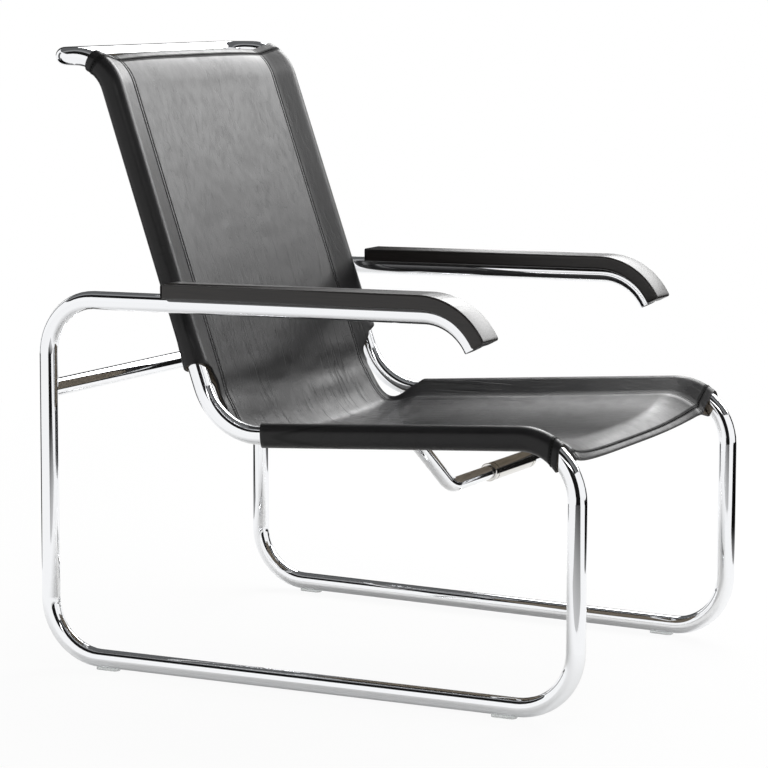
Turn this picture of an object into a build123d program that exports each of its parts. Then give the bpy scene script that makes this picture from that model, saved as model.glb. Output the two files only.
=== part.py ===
"""Cantilever lounge chair: chromed tube frame, leather sling and wooden arms.

Millimetres, +Z up, the sitter faces -Y. The origin is the middle of the floor
under the chair. Right and left are the sitter's: the right side has x < 0.
Each right-hand piece is modelled once and mirrored to make the left one.
"""
from build123d import *
import math
import os

# ---- frame ----
overall_height = 840.0
frame_length = 770.0            # rear leg axis to front leg axis
rear_half_width = 290.5         # chair's middle to the axis of a rear leg
leg_taper = 24.5                # a front leg stands so much nearer the middle
corner_inset = 49.5             # so does the seat tube where it turns up, beside the arm
back_taper = 3.5                # and the back narrows by this much to its top
tube_diameter = 25.0
tube_wall = 2.0
bend_radius = 75.5              # arms and the front of the seat
floor_bend_radius = 78.5        # legs into the floor runners
seat_back_radius = 90.0         # from the seat up into the back
seat_front_height = 364.8       # where the seat line meets the front leg's axis
seat_pitch = 4.1                # degrees, the seat falls to the rear
seat_depth = 535.0              # front leg axis to the seat-to-back corner
back_rake = 19.35               # degrees from upright
top_bend_radius = 60.0          # the back tubes turn level to the rear
top_straight = 1.5              # between that bend and the next
top_corner_radius = 36.0        # into the cross bar
arm_height = 503.0              # arm line at the rear leg's axis
arm_rise = 0.95                 # degrees, rising to the front
arm_straight = 569.0            # rear leg's axis to the arm's front bend
arm_droop = 64.0                # degrees that the arm's front bend turns down
weld_gap = 0.05                 # between two tubes that are welded together

# ---- joint between a side frame and the back bow, hidden in a back sleeve ----
joint_height = 600.0
joint_gap = 0.2
spigot_length = 90.0
spigot_clearance = 0.05         # radial, in the tube's bore
spigot_bore = 12.0

# ---- rear cross brace ----
rear_brace_height = 379.5

# ---- seat brace and its tension sleeve ----
seat_brace_setback = 236.3      # front leg's axis back to the brace's root
seat_brace_lean = 19.3          # the level middle run lies so far in front of the root
seat_brace_diameter = 19.0
seat_brace_wall = 1.5
seat_brace_drop = 89.8          # its level middle run, below the seat's front height
seat_brace_run_in = 73.46       # from its root in to the elbow
seat_brace_radius = 37.0
sleeve_length = 130.0
sleeve_diameter = 25.0
sleeve_groove_width = 2.0
sleeve_groove_depth = 1.0
sleeve_groove_setback = 9.0
sleeve_chamfer = 0.8
sleeve_end_gap = 1.0            # to the end of the brace tube
stud_diameter = 12.0
stud_bore_clearance = 0.05      # radial running fit, sleeve on stud
stud_reach = 52.0               # into the sleeve
stud_root_length = 30.0         # in the brace tube
stud_collar = 0.7               # flange against the tube's end

# ---- armrests ----
armrest_width = 48.0
armrest_thickness = 19.5
armrest_lift = 7.7              # underside above the tube's axis
armrest_rear_setback = 192.0    # rear leg's axis to the armrest's rear end
armrest_edge_radius = 3.5
armrest_corner_radius = 4.0     # rear end, seen from above
armrest_groove_clearance = 0.15
screw_diameter = 4.5
screw_hole_clearance = 0.25     # radial, in the tube's upper wall
screw_wood_clearance = 0.03
screw_depth = 22.0              # above the tube's axis
screw_tip_gap = 1.0             # from the screw's tip to the end of its hole
screw_head_diameter = 8.5       # the head bears on the upper wall, inside the tube
screw_head_height = 3.0
screw_head_rounding = 0.6       # share of the head's height
screw_seat_gap = 0.02
screw_access_diameter = 9.5     # hole in the tube's lower wall that lets the head in
screw_count = 3
screw_first = 228.0             # rear leg's axis to the rearmost screw
screw_pitch = 150.0
end_plug_length = 5.0
end_plug_recess = 0.6           # behind the tube's end
end_plug_clearance = 0.3        # room for the bore's curve

# ---- floor glides ----
glide_standoff = 2.5            # tube clear of the floor
glide_length = 34.0
glide_width = 15.0
glide_side_height = 5.2         # edge of the saddle above the floor
glide_corner_radius = 6.0
glide_clearance = 0.05          # saddle to tube
glide_rear_setback = 90.0       # rear leg's axis to the rear glide
glide_front_setback = 97.0      # front leg's axis to the front glide
glide_peg_diameter = 6.0
glide_peg_clearance = 0.05
glide_peg_height = 6.0          # above the tube's underside

# ---- leather sling ----
hide = 3.2                      # thickness
seat_sleeve_slack = 0.7         # sleeve's inside to the tube
back_sleeve_slack = 0.3
seam_inset = 46.0               # tube's axis to the middle of the double seam
seam_tail = 9.0                 # the wrapped edge beyond that seam
free_edge_inset = 30.0          # tube's axis to the cut edge at the corners
front_wrap = 53.0               # degrees of the front bend that the hide covers
sleeve_wrap_outside = 40.5      # the same for a sleeve, on the outside of the bend
sleeve_wrap_inside = 57.0       # and on the inside, where the same length turns further
top_wrap = 48.0                 # degrees of the top bend that hide and sleeves cover
seat_sleeve_rear = 466.0        # front leg's axis to the seat sleeve's rear end
seat_sleeve_slant = 10.0        # degrees, that end reaches further on the inner side
back_sleeve_foot = 414.5        # height of the back sleeve's lower end
back_sleeve_slant = 22.0        # degrees, the same there
sleeve_trim = 30.0              # longer than that before the slanted cut
sheet_corner_radius = 95.0
slack_share = 0.3               # of the corner's turn, where the hide hangs lowest
blend_share = 0.65              # of the corner's turn, where it is nearly the back's shape
blend_slack = 0.25              # share of the slack that is left there
seat_edge_drop = 3.0            # hide's face below the tube's axis, at the seams
seat_middle_drop = 23.0         # and in the middle of the seat
corner_edge_drop = 17.0         # where nothing holds the edge up
corner_middle_drop = 25.0
back_edge_drop = -6.0           # in front of the tube's axis
back_middle_drop = -2.0
top_middle_drop = -9.0
hang_fullness = 3.6             # 2 hangs as a parabola, more is flatter in the middle
brace_slot_clearance = 2.5      # round the brace, in the seat sleeve

# ---- worked out from the sizes above ----
front_half_width = rear_half_width - leg_taper
corner_half_width = rear_half_width - corner_inset
top_half_width = corner_half_width - back_taper
tube_radius = tube_diameter / 2
bore_radius = tube_radius - tube_wall
runner_height = glide_standoff + tube_radius
bar_height = overall_height - tube_radius
seat_slope = math.tan(math.radians(seat_pitch))
back_slope = math.tan(math.radians(back_rake))
corner_height = seat_front_height - seat_depth * seat_slope
top_line_setback = seat_depth + (bar_height - corner_height) * back_slope
top_tangent = top_bend_radius * math.tan(math.radians(90 - back_rake) / 2)
bar_setback = top_line_setback + top_tangent + top_straight + top_corner_radius
overall_depth = bar_setback + tube_diameter
front_y = -bar_setback / 2
rear_y = front_y + frame_length
corner_y = front_y + seat_depth
bar_y = front_y + bar_setback
seam_tip_inset = seam_inset + seam_tail
screw_seat_height = math.sqrt(bore_radius ** 2 - (screw_head_diameter / 2) ** 2) - screw_seat_gap
cutter_reach = 2 * tube_diameter    # holes and hollowed ends run this far past an axis
touching = 0.01                     # two points nearer than this are one
hang_shares = (-1, -0.8, -0.5, 0, 0.5, 0.8, 1)      # points across the hide, seam to seam
run_shares = (0.1, 0.3, 0.5, 0.7, 0.9)     # sections of the hide on a straight run


def arm_line(setback):
    """Height of the arm tube's axis at a distance in front of the rear leg."""
    return arm_height + setback * math.tan(math.radians(arm_rise))


def back_line(height):
    """Point on the right back tube's axis."""
    share = (height - corner_height) / (bar_height - corner_height)
    half = corner_half_width + (top_half_width - corner_half_width) * share
    return Vector(-half, corner_y + (height - corner_height) * back_slope, height)


class Bend:
    """A tangent arc that rounds the corner between two straight runs."""

    def __init__(self, before, corner, after, radius):
        self.along = (corner - before).normalized()
        leaving = (after - corner).normalized()
        self.turn = self.along.get_angle(leaving)
        tangent = radius * math.tan(math.radians(self.turn) / 2)
        self.start = corner - self.along * tangent
        self.end = corner + leaving * tangent
        self.inward = (leaving - self.along * self.along.dot(leaving)).normalized()
        self.centre = self.start + self.inward * radius
        self.radius = radius

    def at(self, degrees, outward=0):
        """Point after turning by so many degrees, on the arc or outside it."""
        angle = math.radians(degrees)
        spoke = self.along * math.sin(angle) - self.inward * math.cos(angle)
        return self.centre + spoke * (self.radius + outward)

    def heading(self, degrees):
        """Direction of travel there."""
        angle = math.radians(degrees)
        return self.along * math.cos(angle) + self.inward * math.sin(angle)

    def arc(self, first, last):
        """The arc between two angles."""
        return ThreePointArc(self.at(first), self.at((first + last) / 2), self.at(last))


# ---- axis of the right-hand tube, from the arm's tip to the back ----
arm_bend_point = Vector(-rear_half_width, rear_y - arm_straight, arm_line(arm_straight))
arm_heading = Vector(0, -math.cos(math.radians(arm_rise)), math.sin(math.radians(arm_rise)))
arm_tangent = bend_radius * math.tan(math.radians(arm_droop) / 2)
droop_heading = arm_heading.rotate(Axis.X, arm_droop)
arm_front = arm_bend_point + arm_heading * arm_tangent
arm_tip = arm_front + droop_heading * arm_tangent
arm_rear = Vector(-rear_half_width, rear_y, arm_height)
floor_rear = Vector(-rear_half_width, rear_y, runner_height)
floor_front = Vector(-front_half_width, front_y, runner_height)
seat_front = Vector(-front_half_width, front_y, seat_front_height)
seat_back = Vector(-corner_half_width, corner_y, corner_height)
back_joint = back_line(joint_height)
back_top = back_line(bar_height)
bar_corner = Vector(back_top.X, bar_y, bar_height)
bar_middle = Vector(0, bar_y, bar_height)

arm_tip_bend = Bend(arm_tip, arm_front, arm_rear, bend_radius)
arm_rear_bend = Bend(arm_front, arm_rear, floor_rear, bend_radius)
floor_rear_bend = Bend(arm_rear, floor_rear, floor_front, floor_bend_radius)
floor_front_bend = Bend(floor_rear, floor_front, seat_front, floor_bend_radius)
seat_front_bend = Bend(floor_front, seat_front, seat_back, bend_radius)
seat_back_bend = Bend(seat_front, seat_back, back_joint, seat_back_radius)
top_bend = Bend(back_joint, back_top, bar_corner, top_bend_radius)
bar_bend = Bend(back_top, bar_corner, bar_middle, top_corner_radius)


def bent_run(start, bends, finish):
    """Straight runs joined by whole bends, from one point to another."""
    edges = []
    here = start
    for bend in bends:
        if (bend.start - here).length > touching:
            edges.append(Line(here, bend.start))
        edges.append(bend.arc(0, bend.turn))
        here = bend.end
    edges.append(Line(here, finish))
    return Wire(edges)


def round_tube(path, diameter, wall):
    """Hollow tube along a path."""
    section = Circle(diameter / 2) - Circle(diameter / 2 - wall)
    return sweep(Plane(origin=path @ 0, z_dir=path % 0) * section, path=path)


def inward_plane(path):
    """Plane square to a right-hand path at its start, its x axis towards the chair's middle."""
    return Plane(origin=path @ 0, x_dir=(1, 0, 0), z_dir=path % 0)


def rod(start, finish, radius):
    """Straight round bar between two points."""
    return Solid.make_cylinder(radius, (finish - start).length,
                               Plane(origin=start, z_dir=finish - start))


def mirrored(shape):
    """The left-hand twin of a right-hand piece."""
    return mirror(shape, about=Plane.YZ)


# ---- armrest screws and floor glides: where they sit on the tube ----
def screw_spots():
    """Points on the arm tube's axis, with the upward direction there."""
    up = arm_heading.rotate(Axis.X, -90)
    for number in range(screw_count):
        setback = screw_first + number * screw_pitch
        yield Vector(-rear_half_width, rear_y - setback, arm_line(setback)), up


def glide_spots():
    """Name of each right-hand glide and the point on the runner's axis above it."""
    runner = (floor_front - floor_rear).normalized()
    yield "rear", floor_rear + runner * glide_rear_setback
    yield "front", floor_front - runner * glide_front_setback


def side_frame():
    """One tube: arm, rear leg, floor runner, front leg, seat and lower back."""
    path = bent_run(arm_tip_bend.start, [arm_tip_bend, arm_rear_bend, floor_rear_bend,
                                         floor_front_bend, seat_front_bend, seat_back_bend], back_joint)
    tube = round_tube(path, tube_diameter, tube_wall)
    for spot, up in screw_spots():
        tube -= rod(spot, spot + up * cutter_reach, screw_diameter / 2 + screw_hole_clearance)
        tube -= rod(spot - up * cutter_reach, spot, screw_access_diameter / 2)
    peg_hole = glide_peg_diameter / 2 + glide_peg_clearance
    for _, spot in glide_spots():
        tube -= rod(spot - Vector(0, 0, cutter_reach), spot, peg_hole)
    return tube


def back_bow():
    """The upper back tubes and the cross bar, bent from one tube."""
    start = back_joint + (back_top - back_joint).normalized() * joint_gap
    path = bent_run(start, [top_bend, bar_bend], bar_middle)
    right = round_tube(path, tube_diameter, tube_wall)
    return right + mirrored(right)


def back_spigot():
    """Inner sleeve that joins a side frame to the back bow."""
    up = (back_top - seat_back).normalized()
    middle = back_joint + up * joint_gap / 2
    start = middle - up * spigot_length / 2
    finish = middle + up * spigot_length / 2
    return rod(start, finish, bore_radius - spigot_clearance) - rod(start, finish, spigot_bore / 2)


def rear_cross_brace():
    """Straight tube between the rear legs, its ends hollowed to fit them."""
    foot = Vector(-rear_half_width, rear_y, rear_brace_height)
    brace = round_tube(Line(foot, Vector(rear_half_width, rear_y, rear_brace_height)),
                       tube_diameter, tube_wall)
    for side in (-1, 1):
        leg = Vector(side * rear_half_width, rear_y, rear_brace_height)
        reach = Vector(0, 0, cutter_reach)
        brace -= rod(leg - reach, leg + reach, tube_radius + weld_gap)
    return brace


# ---- seat brace ----
brace_root = seat_front + (seat_back - seat_front) * (seat_brace_setback / seat_depth)
brace_middle = Vector(0, brace_root.Y - seat_brace_lean, seat_front_height - seat_brace_drop)
brace_elbow = Vector(brace_root.X + seat_brace_run_in, brace_middle.Y, brace_middle.Z)
brace_end = brace_middle - Vector(sleeve_length / 2 + sleeve_end_gap, 0, 0)
brace_bend = Bend(brace_root, brace_elbow, brace_end, seat_brace_radius)


def seat_brace():
    """Tube from the seat tube down to its elbow and level to the tension sleeve."""
    path = bent_run(brace_root, [brace_bend], brace_end)
    brace = round_tube(path, seat_brace_diameter, seat_brace_wall)
    reach = (seat_back - seat_front).normalized() * cutter_reach
    return brace - rod(brace_root - reach, brace_root + reach, tube_radius + weld_gap)


def tension_stud():
    """Turned stud: root in the brace tube, collar on its end, shank in the sleeve."""
    inward = Vector(1, 0, 0)
    root = seat_brace_diameter / 2 - seat_brace_wall
    stud = rod(brace_end - inward * stud_root_length, brace_end, root)
    stud += rod(brace_end, brace_end + inward * stud_collar, root)
    mouth = brace_end + inward * sleeve_end_gap
    return stud + rod(brace_end, mouth + inward * stud_reach, stud_diameter / 2)


def tension_sleeve():
    """Round coupling with a groove near each end, turned on the two studs."""
    half = sleeve_length / 2
    outer = sleeve_diameter / 2
    along = Plane(origin=brace_middle - Vector(half, 0, 0), x_dir=(0, 1, 0), z_dir=(1, 0, 0))
    body = Cylinder(outer, sleeve_length, align=(Align.CENTER, Align.CENTER, Align.MIN))
    body = chamfer(body.edges(), sleeve_chamfer)
    for start in (sleeve_groove_setback, sleeve_length - sleeve_groove_setback - sleeve_groove_width):
        groove = Cylinder(sleeve_diameter, sleeve_groove_width, align=(Align.CENTER, Align.CENTER, Align.MIN))
        groove -= Cylinder(outer - sleeve_groove_depth, sleeve_groove_width,
                           align=(Align.CENTER, Align.CENTER, Align.MIN))
        body -= Pos(0, 0, start) * groove
    body -= Cylinder(stud_diameter / 2 + stud_bore_clearance, sleeve_length,
                     align=(Align.CENTER, Align.CENTER, Align.MIN))
    return along * body


# ---- armrests ----
def armrest():
    """Wooden rest on the arm tube, following its front bend down to the tip."""
    rear_end = Vector(-rear_half_width, rear_y - armrest_rear_setback, arm_line(armrest_rear_setback))
    path = Wire([Line(rear_end, arm_bend_point),
                 ThreePointArc(arm_bend_point, arm_tip_bend.at(arm_tip_bend.turn / 2), arm_tip_bend.at(0))])
    middle = armrest_lift + armrest_thickness / 2
    block = fillet(Rectangle(armrest_width, armrest_thickness).vertices(), armrest_edge_radius)
    section = Pos(0, middle) * block - Circle(tube_radius + armrest_groove_clearance)
    rest = sweep(inward_plane(path) * section, path=path)
    rest = round_rear_corners(rest, rear_end)
    for spot, up in screw_spots():
        rest -= rod(spot, spot + up * screw_depth, screw_diameter / 2 + screw_wood_clearance)
    return rest


def round_rear_corners(rest, rear_end):
    """Trim the armrest's rear end to rounded corners, seen from above."""
    radius = armrest_corner_radius
    half = armrest_width / 2
    for side in (-1, 1):
        pocket = Pos(side * (half - radius / 2), -radius / 2) * Rectangle(radius, radius)
        pocket -= Pos(side * (half - radius), -radius) * Circle(radius)
        pocket = Pos(rear_end.X, rear_end.Y) * pocket
        rest -= extrude(pocket, amount=overall_height)
    return rest


def wood_screw():
    """Pan-head screw, the seat of its head at the origin and its shank along +Z."""
    head = Cylinder(screw_head_diameter / 2, screw_head_height,
                    align=(Align.CENTER, Align.CENTER, Align.MAX))
    head = fillet(head.edges().group_by(Axis.Z)[0], screw_head_height * screw_head_rounding)
    shank = Cylinder(screw_diameter / 2, screw_depth - screw_tip_gap - screw_seat_height,
                     align=(Align.CENTER, Align.CENTER, Align.MIN))
    return head + shank


def armrest_screws():
    """Wood screws from below, through the tube into the armrest."""
    screws = []
    for spot, up in screw_spots():
        screws.append(Plane(origin=spot + up * screw_seat_height, z_dir=up) * wood_screw())
    return Compound(children=screws)


def arm_end_plug():
    """Disc that closes the arm tube's tip, just inside it."""
    outward = (arm_tip - arm_front).normalized()
    face = arm_tip - outward * end_plug_recess
    return rod(face - outward * end_plug_length, face, bore_radius - end_plug_clearance)


# ---- floor glides ----
def floor_glide(spot):
    """Clear saddle under a runner with a peg through the tube's wall."""
    runner = (floor_front - floor_rear).normalized()
    seat = Plane(origin=(spot.X, spot.Y, 0), x_dir=runner, z_dir=(0, 0, 1))
    outline = RectangleRounded(glide_length, glide_width, glide_corner_radius)
    pad = seat * extrude(outline, amount=glide_side_height)
    reach = runner * glide_length
    pad -= rod(spot - reach, spot + reach, tube_radius + glide_clearance)
    foot = Vector(spot.X, spot.Y, glide_standoff / 2)
    top = Vector(spot.X, spot.Y, glide_standoff + glide_peg_height)
    return pad + rod(foot, top, glide_peg_diameter / 2)


# ---- leather sling ----
def pocket_outline(tube, tip, level):
    """Teardrop round the tube that narrows to the seam: x inward, y away from the sitter."""
    centre = Vector(seam_tip_inset, level)
    span = centre.length
    lean = math.degrees(math.atan2(centre.Y, centre.X))
    spread = math.degrees(math.acos((tube - tip) / span))
    high = Vector(1, 0).rotate(Axis.Z, lean - spread)
    low = Vector(1, 0).rotate(Axis.Z, lean + spread)
    back = Vector(-1, 0).rotate(Axis.Z, lean)
    front = Vector(1, 0).rotate(Axis.Z, lean)
    edges = [ThreePointArc(high * tube, back * tube, low * tube)]
    edges.append(Line(low * tube, centre + low * tip))
    if tip > 0:
        edges.append(ThreePointArc(centre + low * tip, centre + front * tip, centre + high * tip))
    edges.append(Line(centre + high * tip, high * tube))
    return make_face(Wire(edges))


def sleeve_along(path, slack, level):
    """Outside and hollow of a leather sleeve along a stretch of the right tube."""
    plane = inward_plane(path)
    outside = tube_radius + slack + hide
    outer = sweep(plane * pocket_outline(outside, hide, level), path=path)
    inner = sweep(plane * pocket_outline(outside - hide, 0, level), path=path)
    return outer, inner


def beyond(point, outward):
    """Block that fills the side of a plane that the direction points to."""
    size = 4 * seam_tip_inset
    block = Box(size, size, size, align=(Align.CENTER, Align.CENTER, Align.MIN))
    return Plane(origin=point, z_dir=outward) * block


def slanted_end(point, outward, slant):
    """What to cut off a right-hand sleeve that reaches further on its inner side."""
    angle = math.radians(slant)
    return beyond(point, outward * math.cos(angle) - Vector(1, 0, 0) * math.sin(angle))


def seat_sleeve():
    """Outside and hollow of the sleeve on the seat tube and into the front bend."""
    along = (seat_back - seat_front).normalized()
    rear = seat_front + along * seat_sleeve_rear
    bend = seat_front_bend
    path = Wire([bend.arc(0, bend.turn), Line(bend.end, rear + along * sleeve_trim)])
    outside = tube_radius + seat_sleeve_slack + hide
    high = bend.at(bend.turn - sleeve_wrap_outside, outside)
    low = bend.at(bend.turn - sleeve_wrap_inside, -outside)
    cuts = [beyond(low, Vector(1, 0, 0).cross(high - low)), slanted_end(rear, along, seat_sleeve_slant)]
    return [shape - cuts for shape in sleeve_along(path, seat_sleeve_slack, seat_edge_drop + hide)]


def back_sleeve():
    """The same on the back tube and into the top bend."""
    foot = back_line(back_sleeve_foot)
    down = (seat_back - foot).normalized()
    path = Wire([Line(foot + down * sleeve_trim, top_bend.start), top_bend.arc(0, top_wrap)])
    cut = slanted_end(foot, down, back_sleeve_slant)
    return [shape - cut for shape in sleeve_along(path, back_sleeve_slack, back_edge_drop + hide)]


def middle_bend(bend, before, corner, after, radius):
    """The same bend in the chair's middle plane."""
    flat = [Vector(0, point.Y, point.Z) for point in (before, corner, after)]
    return Bend(flat[0], flat[1], flat[2], radius)


def half_width_at(point):
    """Half width between the tube axes beside a point of the middle plane."""
    if point.Y < corner_y:
        share = max(0, (point.Y - front_y) / seat_depth)
        return front_half_width + (corner_half_width - front_half_width) * share
    return -back_line(min(point.Z, bar_height)).X


def sheet_section(point, heading, edge_drop, middle_drop):
    """Cross-section of the hide: level doubled edges, single and lower between them."""
    half = half_width_at(point)
    free = half - free_edge_inset
    seam = half - seam_tip_inset
    face = []
    for share in hang_shares:
        sunk = (middle_drop - edge_drop) * (1 - abs(share) ** hang_fullness)
        face.append((seam * share, edge_drop + sunk))
    under = [(x, y + hide) for x, y in reversed(face)]
    flap = edge_drop + 2 * hide
    right = Polyline(face[-1], (free, edge_drop), (free, flap), (seam, flap), under[0])
    left = Polyline(under[-1], (-seam, flap), (-free, flap), (-free, edge_drop), face[0])
    outline = [Spline(*face)] + right.edges() + [Spline(*under)] + left.edges()
    plane = Plane(origin=point, x_dir=(1, 0, 0), z_dir=heading)
    return plane * make_face(Wire(outline))


def bend_stations(bend, angles_and_drops):
    """Points on a bend, with the heading and the hide's depths there."""
    return [(bend.at(angle), bend.heading(angle), drops) for angle, drops in angles_and_drops]


def run_stations(first, last):
    """The same on the straight run between two of them."""
    made = []
    for share in run_shares:
        drops = tuple(start + (end - start) * share for start, end in zip(first[2], last[2]))
        made.append((first[0] + (last[0] - first[0]) * share, first[1], drops))
    return made


def sheet():
    """The hide from its front edge over the seat and up the back, as one loft."""
    front = middle_bend(seat_front_bend, floor_front, seat_front, seat_back, bend_radius)
    corner = middle_bend(seat_back_bend, seat_front, seat_back, back_joint, sheet_corner_radius)
    top = middle_bend(top_bend, back_joint, back_top, bar_corner, top_bend_radius)
    seat = (seat_edge_drop, seat_middle_drop)
    back = (back_edge_drop, back_middle_drop)
    crest = (back_edge_drop, top_middle_drop)
    slack = (corner_edge_drop, corner_middle_drop)
    blend = tuple(taut + (loose - taut) * blend_slack for taut, loose in zip(back, slack))
    lower = bend_stations(front, [(front.turn - front_wrap * share, seat) for share in (1, 0.5, 0)])
    turned = bend_stations(corner, [(0, seat), (corner.turn * slack_share, slack),
                                    (corner.turn * blend_share, blend), (corner.turn, back)])
    upper = bend_stations(top, [(top_wrap * share, crest) for share in (0, 0.5, 1)])
    stations = lower + run_stations(lower[-1], turned[0]) + turned + run_stations(turned[-1], upper[0]) + upper
    return loft([sheet_section(point, heading, *drops) for point, heading, drops in stations])


def leather_sling():
    """Hide stretched between the tubes, its sides wrapped round them and sewn down."""
    sling = sheet()
    hollows = []
    for outer, inner in (seat_sleeve(), back_sleeve()):
        sling += outer
        sling += mirrored(outer)
        hollows += [inner, mirrored(inner)]
    for hollow in hollows:
        sling -= hollow
    slot = rod(brace_root, brace_bend.start, seat_brace_diameter / 2 + brace_slot_clearance)
    sling -= slot
    return sling - mirrored(slot)


def build():
    """Every node's name and shape."""
    nodes = {
        "back_bow": back_bow(),
        "rear_cross_brace": rear_cross_brace(),
        "tension_sleeve": tension_sleeve(),
        "leather_sling": leather_sling(),
    }
    handed = {
        "side_frame": side_frame(),
        "back_spigot": back_spigot(),
        "seat_brace": seat_brace(),
        "tension_stud": tension_stud(),
        "armrest": armrest(),
        "armrest_screws": armrest_screws(),
        "arm_end_plug": arm_end_plug(),
    }
    for place, spot in glide_spots():
        handed["floor_glide_" + place] = floor_glide(spot)
    for name, shape in handed.items():
        nodes[name + "_right"] = shape
        nodes[name + "_left"] = mirrored(shape)
    return nodes


os.makedirs("parts", exist_ok=True)
for node, shape in build().items():
    export_step(shape, f"parts/{node}.step")
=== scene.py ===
# %% [markdown]
# # A cantilever lounge chair in Blender
# The chair is bent from chromed steel tube. One black hide is stretched between the tubes
# as seat and back, and two strips of black wood lie on the arms. The CAD model gives the
# exact tubes. This lesson dresses it: a studio, the finishes, the hide and its stitching.

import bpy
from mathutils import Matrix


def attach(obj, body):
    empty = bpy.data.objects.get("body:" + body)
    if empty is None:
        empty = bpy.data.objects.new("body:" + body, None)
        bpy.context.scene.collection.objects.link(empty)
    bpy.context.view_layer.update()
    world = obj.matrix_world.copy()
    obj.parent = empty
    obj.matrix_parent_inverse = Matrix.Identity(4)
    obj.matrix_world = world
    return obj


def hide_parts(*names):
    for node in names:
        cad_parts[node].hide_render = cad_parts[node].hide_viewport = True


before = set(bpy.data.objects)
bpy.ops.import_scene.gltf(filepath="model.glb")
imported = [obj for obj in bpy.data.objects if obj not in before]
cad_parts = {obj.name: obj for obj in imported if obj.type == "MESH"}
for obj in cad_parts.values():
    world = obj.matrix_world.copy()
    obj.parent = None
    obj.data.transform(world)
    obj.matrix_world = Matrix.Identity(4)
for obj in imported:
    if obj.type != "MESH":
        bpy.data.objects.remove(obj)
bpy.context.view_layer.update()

import math

import bpy
import numpy as np
from mathutils import Matrix, Vector, noise

MM = 0.001                      # metres in a millimetre
bpy.ops.object.select_all(action="DESELECT")

# %% [markdown]
# ## The camera
# The photograph was taken from the sitter's right, a little above the arms, with a long
# lens about four metres away. The camera is turned by its compass bearing, its dip and a
# slight roll. A small vertical shift keeps the legs nearly parallel, as in the photograph.

# %% Place the camera
def put_in_scene(name, data):
    """A new object that shows this camera, lamp or mesh."""
    made = bpy.data.objects.new(name, data)
    bpy.context.scene.collection.objects.link(made)
    return made


bearing, dip, roll = (math.radians(angle) for angle in (62.849, 6.498, 0.156))
standpoint = (-3.558, -1.8116, 0.9368)
ahead = Vector((math.sin(bearing) * math.cos(dip), math.cos(bearing) * math.cos(dip),
                -math.sin(dip)))
level = Vector((math.cos(bearing), -math.sin(bearing), 0))
upright = level.cross(ahead)
right = level * math.cos(roll) + upright * math.sin(roll)
upwards = upright * math.cos(roll) - level * math.sin(roll)
turned = Matrix((right, upwards, -ahead)).transposed().to_4x4()

camera_data = bpy.data.cameras.new("studio_camera")
camera_data.lens = 136.2
camera_data.shift_y = -0.10
camera = put_in_scene("studio_camera", camera_data)
camera.matrix_world = Matrix.Translation(standpoint) @ turned
bpy.context.scene.camera = camera
bpy.context.scene.view_settings.view_transform = "Standard"
print("camera at", tuple(camera.location))

# %% [markdown]
# ## Helpers for colours and nodes
# Colours are written as the hex values one sees on a screen. Blender's shaders calculate
# in linear light, so one function converts them. A second one adds a node to a material
# with its settings and links, which keeps each material short enough to read.

# %% Colour and node helpers
def linear(hex_colour):
    """The linear colour for an sRGB hex value such as "1a1a1c"."""
    parts = [int(hex_colour[i:i + 2], 16) / 255 for i in (0, 2, 4)]
    return tuple(p / 12.92 if p < 0.04045 else ((p + 0.055) / 1.055) ** 2.4
                 for p in parts) + (1.0,)


def node(tree, kind, inputs=None, **settings):
    """A new node, named without its "ShaderNode". An input is a value, another node's
    output, or another node, whose first output is then meant."""
    made = tree.nodes.new("ShaderNode" + kind)
    for name, value in settings.items():
        setattr(made, name, value)
    for name, value in (inputs or {}).items():
        if isinstance(value, bpy.types.Node):
            value = value.outputs[0]
        if isinstance(value, bpy.types.NodeSocket):
            tree.links.new(value, made.inputs[name])
        else:
            made.inputs[name].default_value = value
    return made


def new_material(name):
    """An empty node material, and its tree."""
    material = bpy.data.materials.new(name)
    material.use_nodes = True
    material.node_tree.nodes.clear()
    return material, material.node_tree


def finish(material, shader, inputs):
    """Ends a material in this shader, with its settings and links."""
    tree = material.node_tree
    node(tree, "OutputMaterial", {"Surface": node(tree, shader, inputs)})
    return material


print("mid grey 808080 is", round(linear("808080")[0], 3), "in linear light")

# %% [markdown]
# ## The studio
# The photograph is a cut-out on pure white. World and floor show white wherever the camera
# or a reflection looks at them, by way of the Light Path node, while the light that falls
# on the object stays at a plain level. The floor is still a real surface: it keeps the soft
# shadow of the chair, and near the chair the chrome shows it darker than the camera does.

# %% White world
world = bpy.data.worlds.new("white_studio")
bpy.context.scene.world = world
world.use_nodes = True
sky = world.node_tree
sky.nodes.clear()
sky_light = 0.5                 # what the sky gives to the object
rays = node(sky, "LightPath")
seen = node(sky, "Math", {0: rays.outputs["Is Camera Ray"], 1: rays.outputs["Is Glossy Ray"]},
            operation="MAXIMUM")
seen = node(sky, "Math", {0: seen, 1: rays.outputs["Is Transmission Ray"]}, operation="MAXIMUM")
strength = node(sky, "MapRange", {"Value": seen, "To Min": sky_light, "To Max": 1.0})
background = node(sky, "Background", {"Color": (1, 1, 1, 1), "Strength": strength})
node(sky, "OutputWorld", {"Surface": background})
print("world: white to the camera, light", sky_light)

# %% Paper floor
def distance_from_chair(tree):
    """How far a point of the floor is from the chair's middle, in metres."""
    place_on = node(tree, "TexCoord").outputs["Object"]
    return node(tree, "VectorMath", {0: place_on}, operation="LENGTH").outputs["Value"]


bpy.ops.mesh.primitive_plane_add(size=30, location=(0, 0, 0))
floor = bpy.context.object
floor.name = "studio_floor"
paper, tree = new_material("white_paper_floor")
rays = node(tree, "LightPath")
from_chair = distance_from_chair(tree)
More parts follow.
